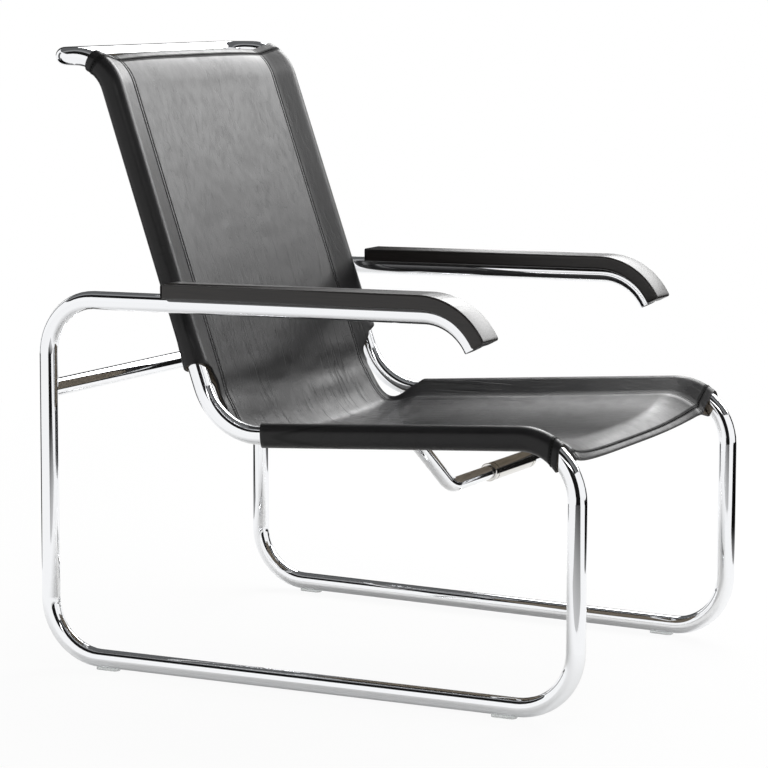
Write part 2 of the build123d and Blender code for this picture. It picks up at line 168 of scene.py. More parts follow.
# near the chair the camera still sees some of the shadow, far away nothing but white
to_camera = node(tree, "MapRange", {"Value": from_chair, "From Min": 0.8, "From Max": 2.5,
                                    "To Min": 0.93, "To Max": 1.0})
to_camera = node(tree, "Math", {0: to_camera, 1: rays.outputs["Is Camera Ray"]},
                 operation="MULTIPLY")
to_chrome = node(tree, "MapRange", {"Value": from_chair, "From Min": 0.4, "From Max": 0.85,
                                    "To Min": 0.1, "To Max": 0.95})
to_chrome = node(tree, "Math", {0: to_chrome, 1: rays.outputs["Is Glossy Ray"]},
                 operation="MULTIPLY")
white = node(tree, "Math", {0: to_camera, 1: to_chrome}, operation="MAXIMUM")
white = node(tree, "Math", {0: white, 1: rays.outputs["Is Transmission Ray"]},
             operation="MAXIMUM")
lit = node(tree, "BsdfDiffuse", {"Color": linear("dededd")})
glow = node(tree, "Emission", {"Color": (1, 1, 1, 1), "Strength": 1.0})
floor.data.materials.append(finish(paper, "MixShader", {0: white, 1: lit, 2: glow}))
print("floor ready")

# %% [markdown]
# ## Lamps
# A large soft lamp on the far side gives the leather its sheen and the wood its highlight,
# as a window would. A smaller one beside it lights the corner of seat and back. Weak lamps
# above and behind the camera keep the black parts from closing up.

# %% Softboxes
def stand(thing, place, target):
    """Puts a lamp or a card in its place and turns it to face a point."""
    thing.location = place
    thing.rotation_mode = "QUATERNION"
    thing.rotation_quaternion = (Vector(target) - Vector(place)).to_track_quat("-Z", "Y")


def softbox(name, place, target, width, height, power):
    """A rectangular area lamp that faces a point."""
    lamp = bpy.data.lights.new(name, "AREA")
    lamp.shape = "RECTANGLE"
    lamp.size, lamp.size_y, lamp.energy = width, height, power
    made = put_in_scene(name, lamp)
    stand(made, place, target)
    return made


chair_middle = (0, 0, 0.45)
overhead = softbox("softbox_above", (-0.4, -0.6, 3.0), chair_middle, 2.4, 2.4, 26)
overhead.visible_glossy = False      # its reflection would cut the dark ceiling in two
softbox("softbox_far_side", (2.25, -0.65, 1.95), (0, -0.45, 0.75), 2.7, 1.5, 80)
softbox("softbox_far_corner", (2.3, 0.75, 2.05), (0, 0.35, 0.8), 1.0, 0.9, 15)
softbox("softbox_behind_camera", (-3.0, -2.8, 2.2), chair_middle, 1.5, 1.5, 14)
print("watts:", {lamp.name: lamp.energy for lamp in bpy.data.lights})

# %% [markdown]
# ## Cards and cloths
# Chrome has no colour of its own: it shows the room. Photographers hang dark cards round
# it, so that each tube gets sharp dark lines between bright ones. Here the ceiling is dark,
# cards stand on four sides and dark cloths lie on the floor. They are seen by reflections
# alone: they cast no shadow, and the camera looks through them.

# %% Cards
def card_tone(name, hex_colour):
    """A card of the brightness that it has in a reflection."""
    material, _ = new_material(name)
    return finish(material, "Emission", {"Color": linear(hex_colour), "Strength": 1.0})


def only_in_reflections(thing, tone):
    """Gives a card its tone and takes it out of everything but reflections."""
    thing.visible_camera = thing.visible_transmission = False
    thing.visible_diffuse = thing.visible_shadow = False
    thing.data.materials.append(tone)


def card(name, place, target, width, height, tone):
    """A rectangle that faces a point and shows in reflections only."""
    bpy.ops.mesh.primitive_plane_add(size=1, location=(0, 0, 0))
    made = bpy.context.object
    made.name = name
    made.scale = (width, height, 1)
    stand(made, place, target)
    only_in_reflections(made, tone)


black_card = card_tone("black_flocked_card", "181818")
slate_card = card_tone("dark_grey_card", "606162")
charcoal_card = card_tone("charcoal_card", "383939")
grey_card = card_tone("mid_grey_card", "8b8c8d")
ceiling, room = 3.0, 10         # how high and how long the ceiling cards are
card("ceiling_black", (-1.95, 0, ceiling), (-1.95, 0, 0), 2.1, room, black_card)
card("ceiling_strip", (-0.5, 0, ceiling), (-0.5, 0, 0), 0.8, room, grey_card)
card("ceiling_dark", (2.4, 0, ceiling), (2.4, 0, 0), 5.0, room, slate_card)
card("card_far", (3.55, 1.85, 1.6), (0, 0, 1.6), 5.0, 1.6, charcoal_card)
card("card_camera", (-2.15, -1.72, 0.85), (-1.26, -1.265, 0.85), 2.1, 1.7, black_card)
card("card_right", (1.95, -1.28, 0.5), (0, 0, 0.5), 1.1, 1.0, black_card)
card("card_left", (0.0, 2.4, 0.8), (0, 0, 0.8), 0.5, 1.6, slate_card)


# %% Dark cloths on the floor
def cloth_tone(name, near, far, brightest):
    """A dark cloth that the white floor shines into: paler near the chair, black far off."""
    material, tree = new_material(name)
    tone = node(tree, "MapRange", {"Value": distance_from_chair(tree), "From Min": near,
                                   "From Max": far, "To Min": brightest, "To Max": 0.004},
                interpolation_type="SMOOTHSTEP")
    return finish(material, "Emission", {"Color": (1, 1, 1, 1), "Strength": tone})


def floor_cloth(name, direction, near, far, tone):
    """A dark patch on the floor, seen by reflections only. Its near and far edges are given
    as a distance in a compass direction, and how far they reach to both sides of it."""
    outwards, beside = (Vector((math.sin(angle), math.cos(angle), 0)) for angle in
                        (math.radians(direction), math.radians(direction + 90)))
    above_floor = Vector((0, 0, 4 * MM))
    corners = [outwards * edge[0] + beside * side + above_floor
               for edge, side in ((near, near[1]), (far, far[1]), (far, far[2]), (near, near[2]))]
    mesh = bpy.data.meshes.new(name)
    mesh.from_pydata(corners, [], [(0, 1, 2, 3)])
    only_in_reflections(put_in_scene(name, mesh), tone)


towards_camera = 242.85
floor_cloth("cloth_camera", towards_camera, (0.95, -0.75, 0.45), (4.0, -1.9, 0.5),
            cloth_tone("dark_cloth_in_front", 0.75, 2.3, 0.6))
floor_cloth("cloth_right", towards_camera - 111, (1.0, -0.75, 0.75), (4.0, -2.7, 2.7),
            cloth_tone("dark_cloth_at_right", 0.95, 1.35, 0.3))
floor_cloth("cloth_left", towards_camera + 125, (0.95, -0.3, 0.3), (4.0, -1.2, 1.2),
            cloth_tone("dark_cloth_at_left", 0.8, 1.5, 0.35))

# %% [markdown]
# ## Chrome plate
# The tubes are cold drawn steel, polished, nickelled and chrome plated. The plate is a
# nearly perfect mirror, a shade cooler than silver. What keeps it from looking computed is
# the faint waviness of drawn tube and a little unevenness in the polish. The coupling under
# the seat is turned from solid steel, and its plate is hazier and warmer.

# %% Chrome finish
def chrome(name, hex_colour, ripple_mm, ripple_height_mm, roughness):
    """Chrome plate over polished tube: mirror with a faint waviness of the given size."""
    material, tree = new_material(name)
    place_on = node(tree, "TexCoord").outputs["Object"]
    ripple = node(tree, "TexNoise", {"Vector": place_on, "Scale": 1000 / ripple_mm,
                                     "Detail": 1.0, "Roughness": 0.4})
    bump = node(tree, "Bump", {"Height": ripple, "Strength": 1.0,
                               "Distance": ripple_height_mm / 1000})
    haze_mm = 18.0              # patches that the polishing wheel left
    haze = node(tree, "TexNoise", {"Vector": place_on, "Scale": 1000 / haze_mm, "Detail": 4.0})
    polish = node(tree, "MapRange", {"Value": haze, "From Min": 0.3, "From Max": 0.75,
                                     "To Min": roughness, "To Max": roughness + 0.05})
    return finish(material, "BsdfPrincipled", {"Base Color": linear(hex_colour),
                                               "Metallic": 1.0, "Roughness": polish,
                                               "Normal": bump})


chrome_plate = chrome("chrome_plated_steel_tube", "f5f6f8", 90.0, 0.05, 0.025)
sleeve_chrome = chrome("chrome_plated_turned_sleeve", "dcdad6", 40.0, 0.03, 0.08)
print("chrome:", chrome_plate.name, sleeve_chrome.name)

# %% [markdown]
# ## Turned steel and moulded plastic
# Screws, studs and spigots are bright turned steel with fine tool marks. The glides are
# clear plastic, hazy from wear on the floor, and the plugs in the arm tubes are matt black
# nylon. On all three the gloss varies with fine marks of one size, so they share a function.

# %% Steel and plastics
def fine_marked(name, mark_mm, detail, roughness, looks, relief_mm=None, strength=0.5):
    """A plain material whose gloss, and relief if given, vary with marks of one size."""
    material, tree = new_material(name)
    place_on = node(tree, "TexCoord").outputs["Object"]
    marks = node(tree, "TexNoise", {"Vector": place_on, "Scale": 1000 / mark_mm,
                                    "Detail": detail})
    gloss = node(tree, "MapRange", {"Value": marks, "To Min": roughness[0],
                                    "To Max": roughness[1]})
    looks = {**looks, "Roughness": gloss}
    if relief_mm:
        looks["Normal"] = node(tree, "Bump", {"Height": marks, "Strength": strength,
                                              "Distance": relief_mm * MM})
    return finish(material, "BsdfPrincipled", looks)


steel = fine_marked("turned_bright_steel", 0.8, 2.0, (0.24, 0.4),
                    {"Base Color": linear("b4b4b2"), "Metallic": 1.0}, 0.05)
glide_plastic = fine_marked("clear_moulded_plastic", 3.0, 4.0, (0.12, 0.34),
                            {"Base Color": linear("e9ecec"), "Transmission Weight": 0.75,
                             "IOR": 1.49})
plug_plastic = fine_marked("matt_black_nylon", 0.9, 3.0, (0.45, 0.65),
                           {"Base Color": linear("161616")}, 0.1, 0.6)
print("made:", steel.name, glide_plastic.name, plug_plastic.name)

# %% [markdown]
# ## Black lacquered wood
# The armrests are beech, stained black and lacquered. The lacquer is smooth and glossy at a
# glancing view, and the grain below it just shows, as lines that run along the arm. Noise
# drawn out along the arm gives such lines at the spacing of real grain.

# %% Wood finish
def lacquered_wood():
    """Black stained hardwood under satin lacquer, with the grain running along Y."""
    material, tree = new_material("black_lacquered_beech")
    place_on = node(tree, "TexCoord").outputs["Object"]
    grain_mm, along = 2.2, 0.03     # grain lines this far apart, drawn out along the arm
    scale = (1000 / grain_mm, along * 1000 / grain_mm, 1000 / grain_mm)
    lines = node(tree, "Mapping", {"Vector": place_on, "Scale": scale})
    grain = node(tree, "TexNoise", {"Vector": lines, "Scale": 1.0, "Detail": 5.0,
                                    "Roughness": 0.6, "Distortion": 0.3})
    shade = node(tree, "MapRange", {"Value": grain, "From Min": 0.35, "From Max": 0.7})
    tint = node(tree, "Mix", {0: shade, 6: linear("141110"), 7: linear("231f1d")},
                data_type="RGBA").outputs[2]
    gloss = node(tree, "MapRange", {"Value": grain, "To Min": 0.32, "To Max": 0.38})
    bump = node(tree, "Bump", {"Height": grain, "Strength": 0.25, "Distance": 0.04 * MM})
    return finish(material, "BsdfPrincipled", {"Base Color": tint, "Roughness": gloss,
                                               "Normal": bump, "Specular IOR Level": 0.5})


black_wood = lacquered_wood()
print("wood:", black_wood.name)

# %% [markdown]
# ## Finishes on the CAD pieces
# The tubes, the coupling and the small parts have their right shape already, so they keep
# it and only get a better material.

# %% Dress the CAD nodes
finish_of = {"side_frame": chrome_plate, "back_bow": chrome_plate,
             "rear_cross_brace": chrome_plate, "seat_brace": chrome_plate,
             "tension_sleeve": sleeve_chrome, "back_spigot": steel, "tension_stud": steel,
             "armrest_screws": steel, "armrest": black_wood, "floor_glide_rear": glide_plastic,
             "floor_glide_front": glide_plastic, "arm_end_plug": plug_plastic}
for name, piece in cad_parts.items():
    kind = name.removesuffix("_right").removesuffix("_left")
    if kind in finish_of:
        piece.data.materials.clear()
        piece.data.materials.append(finish_of[kind])
print("dressed:", sorted(finish_of))

# %% [markdown]
# ## Rounded armrest tips
# A joiner rounds the front end of an armrest by hand, where a palm lies over it. The CAD
# piece ends square there. A copy of it is merged into clean faces, and all edges of its end
# but the ones in the groove get a bevel of the same radius as the long edges.

# %% Find and bevel edges
underside, groove_radius, tip_radius = 7.7 * MM, 12.65 * MM, 2.9 * MM
tolerance = 0.2 * MM


def tip_edges(mesh):
    """The edges round an armrest's front end, apart from those in the groove for the tube."""
    tip = max((p for p in mesh.polygons if p.normal.y < -0.3 and p.normal.z < -0.8),
              key=lambda p: p.area)
    from_tube = Vector((0, tip.normal.z, -tip.normal.y))
    points = {v: mesh.vertices[v].co - tip.center for v in tip.vertices}
    axis_height = min(p.dot(from_tube) for p in points.values()) - underside
    in_groove = {v for v, p in points.items()
                 if math.hypot(p.x, p.dot(from_tube) - axis_height) < groove_radius + tolerance}
    return {key for key in tip.edge_keys if not in_groove.issuperset(key)}


def bevel_edges(piece, keys, width, segments, clamp, sharp_angle):
    """Bevels some edges of a piece, turns its faces outwards and smooths what isn't sharp."""
    bpy.context.view_layer.objects.active = piece
    piece.select_set(True)
    bpy.ops.object.mode_set(mode="EDIT")
    bpy.ops.mesh.select_all(action="DESELECT")
    bpy.ops.mesh.select_mode(type="EDGE")
    bpy.ops.object.mode_set(mode="OBJECT")
    for edge in piece.data.edges:
        edge.select = edge.key in keys
    bpy.ops.object.mode_set(mode="EDIT")
    bpy.ops.mesh.bevel(offset=width, segments=segments, affect="EDGES", clamp_overlap=clamp)
    bpy.ops.mesh.select_all(action="SELECT")
    bpy.ops.mesh.normals_make_consistent(inside=False)
    bpy.ops.object.mode_set(mode="OBJECT")
    bpy.ops.object.shade_smooth_by_angle(angle=math.radians(sharp_angle))
    bpy.ops.object.select_all(action="DESELECT")
    print(piece.name, "edges rounded:", len(keys), "faces:", len(piece.data.polygons))


# %% Round the tips
for side_name in ("right", "left"):
    cad_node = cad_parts[f"armrest_{side_name}"]
    piece = put_in_scene(f"rounded_armrest_{side_name}", cad_node.data.copy())
    bpy.context.view_layer.objects.active = piece
    piece.select_set(True)
    bpy.ops.object.mode_set(mode="EDIT")
    bpy.ops.mesh.select_all(action="SELECT")
    bpy.ops.mesh.remove_doubles(threshold=0.01 * MM)
    bpy.ops.mesh.dissolve_limited(angle_limit=math.radians(0.6))
    bpy.ops.object.mode_set(mode="OBJECT")
    bevel_edges(piece, tip_edges(piece.data), tip_radius, 5, clamp=False, sharp_angle=30)
    piece.data.materials.clear()
    piece.data.materials.append(black_wood)
    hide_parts(f"armrest_{side_name}")
    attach(piece, "frame")

# %% [markdown]
# ## The line that the hide follows
# Seen from the side, the hide runs up out of the front bend, back along the seat, round
# the corner and up the back into the top bend. A point is given by its distance along that
# line, by how far it is from the chair's middle and by its depth away from the sitter.
# All lengths from here on are in millimetres.

# %% Sizes of the side line
front_leg_y, seat_height, seat_length = -395.49, 364.8, 535.0
seat_angle, back_angle = math.radians(-4.1), math.radians(70.65)
front_radius, corner_radius, top_radius = 75.5, 95.0, 60.0
front_cover, top_cover = math.radians(53.0), math.radians(48.0)
bar_height = 827.5
front_half, corner_half, top_half = 266.0, 241.0, 237.5
corner_y = front_leg_y + seat_length
corner_z = seat_height + seat_length * math.tan(seat_angle)
print("corner of seat and back at y, z:", round(corner_y, 1), round(corner_z, 1))


# %% Stretches of the side line
def heading(angle):
    """Direction in the side plane, as (y, z)."""
    return np.array([math.cos(angle), math.sin(angle)])


def away(angle):
    """Square to it, away from the sitter."""
    return np.array([math.sin(angle), -math.cos(angle)])


seat_start = np.array([front_leg_y, seat_height]) + heading(seat_angle) * front_radius * math.tan(
    (math.pi / 2 - seat_angle) / 2)
corner_turn = back_angle - seat_angle
corner_tangent = corner_radius * math.tan(corner_turn / 2)
seat_end = np.array([corner_y, corner_z]) - heading(seat_angle) * corner_tangent
back_start = np.array([corner_y, corner_z]) + heading(back_angle) * corner_tangent
top_corner = np.array([corner_y + (bar_height - corner_z) / math.tan(back_angle), bar_height])
back_end = top_corner - heading(back_angle) * top_radius * math.tan(back_angle / 2)

stretch = [front_radius * front_cover, np.linalg.norm(seat_end - seat_start),
           corner_radius * corner_turn, np.linalg.norm(back_end - back_start),
           top_radius * top_cover]
mark = np.concatenate([[0], np.cumsum(stretch)])     # where each stretch starts
print("stretches, mm:", np.round(stretch, 1), "whole hide:", round(mark[-1], 1))


# %% A point of the chair
def side_line(distance):
    """Point (y, z) and angle at a distance along the line, and past its ends."""
    if distance < mark[1]:
        angle = seat_angle + (mark[1] - distance) / front_radius
        return seat_start + (away(seat_angle) - away(angle)) * front_radius, angle
    if distance < mark[2]:
        return seat_start + heading(seat_angle) * (distance - mark[1]), seat_angle
    if distance < mark[3]:
        angle = seat_angle + (distance - mark[2]) / corner_radius
        return seat_end + (away(angle) - away(seat_angle)) * corner_radius, angle
    if distance < mark[4]:
        return back_start + heading(back_angle) * (distance - mark[3]), back_angle
    angle = back_angle - (distance - mark[4]) / top_radius
    return back_end + (away(back_angle) - away(angle)) * top_radius, angle


def half_width(point):
    """From the chair's middle to the tube's axis, beside a point of the side line."""
    if point[0] < corner_y:
        share = max(0.0, (point[0] - front_leg_y) / seat_length)
        return front_half + (corner_half - front_half) * share
    share = (min(point[1], bar_height) - corner_z) / (bar_height - corner_z)
    return corner_half + (top_half - corner_half) * share


def place(distance, across, depth):
    """A point of the chair in metres."""
    point, angle = side_line(distance)
    y, z = point + away(angle) * depth
    return Vector((across, y, z)) * MM


print("middle of the seat at", tuple(round(v, 3) for v in place((mark[1] + mark[2]) / 2, 0, 0)))

# %% [markdown]
# ## The hide as a grid
# The hide is one sheet of saddle leather, about three millimetres thick. Its sides go
# round the tubes and are sewn down on the inside with a double seam. At the corner
# between seat and back the wrapped part is cut away, and both layers end in a free edge.
# A sheet is best made as a grid: rows across the chair and columns from the middle, over
# the seam, round the tube and back to the seam. Each grid point is worked out from the
# tube's size, so that the hide fits the chair, and the corner simply leaves columns out.
# An inset is a point's distance inwards from the tube's axis.

# %% Sizes of the hide
hide = 3.1
layer_step = hide + 0.1         # from one layer's middle to the next
tube_radius = 12.5
sleeve_half, sleeve_outside = 16.4, 16.0     # from the tube's axis to over the sleeve, and past it
seam_inset, tail_inset, cut_inset = 41.0, 55.0, 30.0
stitch_insets = (48.7, 43.3)    # the two rows of the double seam
groove = 0.6                    # the thread pulls the hide in by this much
rim_inset = 12.0                # where a sleeve's end meets the free edge
hem_stitch = 12.0               # single stitches, from the front and top edges
hem_depth = 17.0                # how far the front and top edges are doubled

# the sleeves' ends at the corner reach further on the inner side of the tube
seat_rim, seat_rim_outside = mark[1] + 391.0, mark[1] + 378.6
back_rim, back_rim_outside = mark[3] + 16.0, mark[3] + 27.3
cover_outside, cover_inside = math.radians(40.5), math.radians(57.0)     # at the front bend
easing, seam_blend = 70.0, 8    # a slanted end is spread over the rows and columns near it
print("free edge from", round(seat_rim, 1), "to", round(back_rim, 1))

# %% [markdown]
# ## How low the hide hangs
# Leather that is sat on hangs between the tubes like a shallow trough: deepest in the
# middle of the seat, nearly flat at the back. Its depth is given at a few stations along
# the side line, for the middle and for the seams, and is rounded in between.

# %% Depth tables
table = np.arange(-40.0, mark[5] + 41)       # one value a millimetre, a little past both ends
corner_at = [mark[2] + corner_turn * corner_radius * share for share in (0, 0.3, 0.65, 1)]
stations = [0, mark[1], (mark[1] + mark[2]) / 2] + corner_at + [mark[4], mark[5]]


def eased(values, width=30):
    """Values at the stations, joined and rounded over a width in mm."""
    line = np.interp(table, stations, values)
    weights = np.hanning(width + 2)[1:-1]
    padded = np.pad(line, width // 2, mode="edge")
    return np.convolve(padded, weights / weights.sum(), mode="same")[width // 2:-(width // 2)]


edge_depth = eased([2.0, 2.5, 4.0, 3.0, 19.0, -0.25, -6.0, -6.0, -7.0])
middle_depth = eased([22.0, 23.0, 23.0, 23.0, 26.0, 4.75, -2.0, -5.0, -11.0])
slack = np.interp(table, [mark[2], mark[3], back_rim, back_rim + 45], [0.9, 2.3, 2.3, 0.35])
fullness = 3.6                  # above 2, the trough has a flat floor and steeper sides


def at(distance, values):
    """A table's value at a distance along the side line."""
    return float(np.interp(distance, table, values))


def hang(distance, share):
    """Depth of the hide's middle layer between the seams; the share is 1 at a seam."""
    edge, middle = at(distance, edge_depth), at(distance, middle_depth)
    return hide / 2 + edge + (middle - edge) * (1 - abs(share) ** fullness)


print("deepest below the tubes, mm:", round(max(middle_depth), 1))

# %% [markdown]
# ## One row of the grid
# A row starts in the middle of the panel and crosses both lines of stitches. From there the
# upper layer rises to the tube, goes round it, and comes back under itself as the lower
# layer. Where the sleeve is cut away, both layers lie flat and end in a free edge.

# %% Columns of a row
shares = [0, .09, .18, .27, .36, .45, .54, .62, .69, .75, .80, .845, .885, .92, .95, .975, 1]
seam_columns = [53, 51, 49.9, 48.7, 47.4, 46, 44.6, 43.3, 42.1, 40.5]
flap_shares = (0.25, 0.5, 0.75, 1)
arc_steps = 16
stitch_spread = 0.9             # how wide the dent of a stitch row is
rim_swing = 24                  # how soon the free edge has swung in
flat_after = {"top": 50, "under": 30}        # how soon each layer lies flat past a sleeve


def smooth(value):
    """An S curve from 0 to 1."""
    value = min(max(value, 0.0), 1.0)
    return value * value * (3 - 2 * value)


def sew(inset):
    """How much a stitch row sinks the surface at an inset."""
    return groove * sum(math.exp(-((inset - at_inset) / stitch_spread) ** 2)
                        for at_inset in stitch_insets)


def past_rim(distance):
    """How far a row of the corner is from the nearest sleeve end."""
    return min(abs(distance - seat_rim), abs(distance - back_rim))


def free_inset(distance):
    """Inset of the cut edge in the corner: it swings out to the ends of the sleeves."""
    return cut_inset - (cut_inset - rim_inset) * (1 - smooth(past_rim(distance) / rim_swing))


print("columns by part:", len(shares), len(seam_columns), len(flap_shares), arc_steps + 3)


# %% Work out a row
def row(distance):
    """Half a row, from the middle to the tail: (inset or None, across, depth, part). And
    whether the row has a sleeve."""
    half = half_width(side_line(distance)[0])
    sleeved = not seat_rim < distance < back_rim
    last = rim_inset if sleeved else free_inset(distance)
    radius = tube_radius + at(distance, slack) + hide / 2
    level = {"top": hang(distance, 1), "under": hang(distance, 1) + layer_step}
    angle, touch, slope = {}, {}, {}
    for part, side in (("top", -1), ("under", 1)):
        lean = math.atan2(level[part], seam_inset)
        spread = math.acos(radius / math.hypot(level[part], seam_inset))
        angle[part] = lean + side * spread          # where this layer touches the tube's sleeve
        touch[part] = np.array([math.cos(angle[part]), math.sin(angle[part])]) * radius
        slope[part] = (touch[part][1] - level[part]) / (seam_inset - touch[part][0])
        if not sleeved:
            slope[part] *= 1 - smooth(past_rim(distance) / flat_after[part])

    def depth_at(part, inset):
        return level[part] + slope[part] * max(0.0, seam_inset - inset)

    def halfway(part):
        inset = (last + touch[part][0]) / 2
        return inset, depth_at(part, inset)

    flap = [seam_columns[-1] + (last - seam_columns[-1]) * share for share in flap_shares]
    turn = angle["top"] - (angle["under"] - 2 * math.pi)
    arc = [angle["top"] - turn * step / arc_steps for step in range(arc_steps + 1)]
    wrap = [halfway("top")] + [(math.cos(a) * radius, math.sin(a) * radius) for a in arc]
    wrap.append(halfway("under"))

    made = [(None, (half - tail_inset) * share, hang(distance, share), "panel") for share in shares]
    made += [(i, half - i, depth_at("top", i) + sew(i), "top") for i in seam_columns]
    made += [(i, half - i, depth_at("top", i), "top") for i in flap]
    made += [(i, half - i, depth, "wrap") for i, depth in wrap]
    made += [(i, half - i, depth_at("under", i), "under") for i in reversed(flap)]
    made += [(i, half - i, depth_at("under", i) - sew(i), "under")
             for i in reversed([tail_inset] + seam_columns)]
    return made, sleeved


sample = row(300.0)[0]
half_columns = len(sample)
middle_column = half_columns - 1
column_of = {(part, inset): number for number, (inset, _, _, part) in enumerate(sample)}
print("columns in half a row:", half_columns)

# %% [markdown]
# ## Rows and slanted ends
# The sleeves don't end square to the tube: at the front they follow the bend, and at the
# corner they reach further on the inner side. Rows near an end are shifted a little, more
# the nearer they are, so the grid stays even. Rows lie close together where the hide bends,
# and one row runs exactly where the stitches of the front and top edges will be.

# %% Shift a row's points along the chair
def shifted(distance, inset, depth, part):
    """The distance that a grid point really has, with the slant of the sleeves' ends."""
    beyond_seam = 0 if inset is None else smooth((seam_inset - inset) / seam_blend)
    front = 1 - smooth(distance / easing)
    if front > 0 and part != "panel":
        share = (depth + sleeve_half) / (2 * sleeve_half)
        cover = cover_outside + (cover_inside - cover_outside) * share
        distance += front * beyond_seam * (front_cover - cover) * front_radius
    if part == "wrap":
        outwards = (rim_inset - inset) / (rim_inset + sleeve_outside)
        near_seat_rim = near_back_rim = 0
        if distance <= seat_rim + 1:
            near_seat_rim = smooth((distance - seat_rim + easing) / easing)
        if distance >= back_rim - 1:
            near_back_rim = smooth((back_rim + easing - distance) / easing)
        distance -= near_seat_rim * (seat_rim - seat_rim_outside) * outwards
        distance += near_back_rim * (back_rim_outside - back_rim) * outwards
    return distance


print("slant at the back rim, mm:", round(back_rim_outside - back_rim, 1))


# %% Choose the rows
def rows_between(first, last, step):
    """Evenly spaced distances, both ends included."""
    count = max(1, round((last - first) / step))
    return [first + (last - first) * i / count for i in range(count + 1)]


distances = rows_between(0, mark[1], 4.4)
distances += rows_between(mark[1], seat_rim, 7.0)[1:]
distances += rows_between(seat_rim, back_rim, 4.0)[1:]
distances += rows_between(back_rim, mark[4], 7.0)[1:]
distances += rows_between(mark[4], mark[5], 4.2)[1:]


def nearest_row(distance):
    """Moves the nearest row to where stitches will run, and returns its number."""
    number = int(np.argmin([abs(d - distance) for d in distances]))
    distances[number] = distance
    return number


stitched_rows = {"front": nearest_row(hem_stitch), "top": nearest_row(mark[5] - hem_stitch)}
print("rows:", len(distances), "stitched:", stitched_rows)

# %% [markdown]
# ## Creases
# A hide that has been sat on keeps small waves, strongest low on the back, where it is
# pushed together each time somebody leans on it. Blender's own noise, which gives the same
# values on each run, moves the panel's grid points by a millimetre or so.

# %% Work out the grid
crease_across, crease_along = 70, 26         # mm from wave to wave
crease_middle, crease_reach = mark[2] + 55, 90


def crease(distance, across, share):
    """How far a wave moves a point of the panel; the seams hold it still."""
    spot = Vector((across / crease_across, distance / crease_along, 3.7))
    waves = noise.noise(spot) + 0.5 * noise.noise(spot * 2.3)
    low = math.exp(-((distance - crease_middle) / crease_reach) ** 2)
    return (0.25 + low) * waves * (1 - share ** 6)


def half_grid(side):
    """Points of one side's half of every row, and whether each belongs to the hide."""
    points, there = [], []
    for distance in distances:
        made, sleeved = row(distance)
        reach = half_width(side_line(distance)[0]) - tail_inset
        line = []
        for inset, across, depth, part in made:
            if part == "panel":
                depth += crease(distance, across * side, across / reach)
            line.append(place(shifted(distance, inset, depth, part), across * side, depth))
        points.append(line)
        there.append([sleeved or part != "wrap" for _, _, _, part in made])
    return points, there


right_points, there = half_grid(-1)
left_points, _ = half_grid(1)
grid = np.array([list(reversed(r)) + l[1:] for r, l in zip(right_points, left_points)])
present = np.array([list(reversed(k)) + k[1:] for k in there])
print("grid:", grid.shape, "points:", int(present.sum()))

# %% [markdown]
# ## Saddle leather
# The hide is vegetable tanned, dyed black and waxed. Its grain side is smooth, with fine
# pores, a cloudy sheen and thin draw lines that run along the hide where it bends most.
# The grain is drawn about three times too coarse, because the real pores are smaller than
# a pixel. Where needle and thread went through, the hide is pressed in and dull: the sheet
# carries an attribute, stitched, that tells the material where that is. There, and in the
# draw lines, the colour is darkened to near black as painted shade in grooves and creases.

# %% Patterns in leather
def drawn_noise(tree, place_on, size_mm, detail, stretch, turn, roughness=0.5):
    """Noise whose features are about this large, drawn out and turned as wanted."""
    laid = node(tree, "Mapping", {"Vector": place_on, "Rotation": turn, "Scale": stretch})
    return node(tree, "TexNoise", {"Vector": laid, "Scale": 1000 / size_mm, "Detail": detail,
                                   "Roughness": roughness})


def draw_lines(tree, place_on, size_mm, turn, width, length=0.06):
    """Long thin lines, broken here and there: where a drawn-out noise passes its middle."""
    field = drawn_noise(tree, place_on, size_mm, 1.0, (1, length, length), turn)
    off_middle = node(tree, "Math", {0: field, 1: 0.5}, operation="SUBTRACT")
    off_middle = node(tree, "Math", {0: off_middle}, operation="ABSOLUTE")
    line = node(tree, "MapRange", {"Value": off_middle, "From Min": 0.0, "From Max": width,
                                   "To Min": 1.0, "To Max": 0.0},
                interpolation_type="SMOOTHSTEP")
    gaps = drawn_noise(tree, place_on, 55.0, 3.0, (1, 0.6, 0.6), (0.5, turn[1], 0.9))
    kept = node(tree, "MapRange", {"Value": gaps, "From Min": 0.40, "From Max": 0.52},
                interpolation_type="SMOOTHSTEP")
    return node(tree, "Math", {0: line, 1: kept}, operation="MULTIPLY")


def leather_lines(tree, place_on):
    """Draw lines along the hide, most of them low on the back and in the bend of the seat,
    with short wrinkles everywhere."""
    axes = node(tree, "SeparateXYZ", {0: place_on})
    low = node(tree, "MapRange", {"Value": axes.outputs["Z"], "From Min": 0.62,
                                  "From Max": 0.40, "To Min": 0.0, "To Max": 1.0},
               interpolation_type="SMOOTHSTEP")
    behind = node(tree, "MapRange", {"Value": axes.outputs["Y"], "From Min": -0.2,
                                     "From Max": 0.02}, interpolation_type="SMOOTHSTEP")
    where = node(tree, "Math", {0: low, 1: behind, 2: 0.08}, operation="MULTIPLY_ADD")
    lines = node(tree, "Math", {0: draw_lines(tree, place_on, 30.0, (0.0, 0.14, 0.1), 0.018),
                                1: draw_lines(tree, place_on, 15.0, (0.1, 0.26, 0.2), 0.018)},
                 operation="MAXIMUM")
    lines = node(tree, "Math", {0: lines, 1: where}, operation="MULTIPLY")
    short = draw_lines(tree, place_on, 11.0, (0.5, 0.5, 0.7), 0.02, 0.35)
    short = node(tree, "Math", {0: short, 1: 0.35}, operation="MULTIPLY")
    return node(tree, "Math", {0: lines, 1: short}, operation="MAXIMUM")


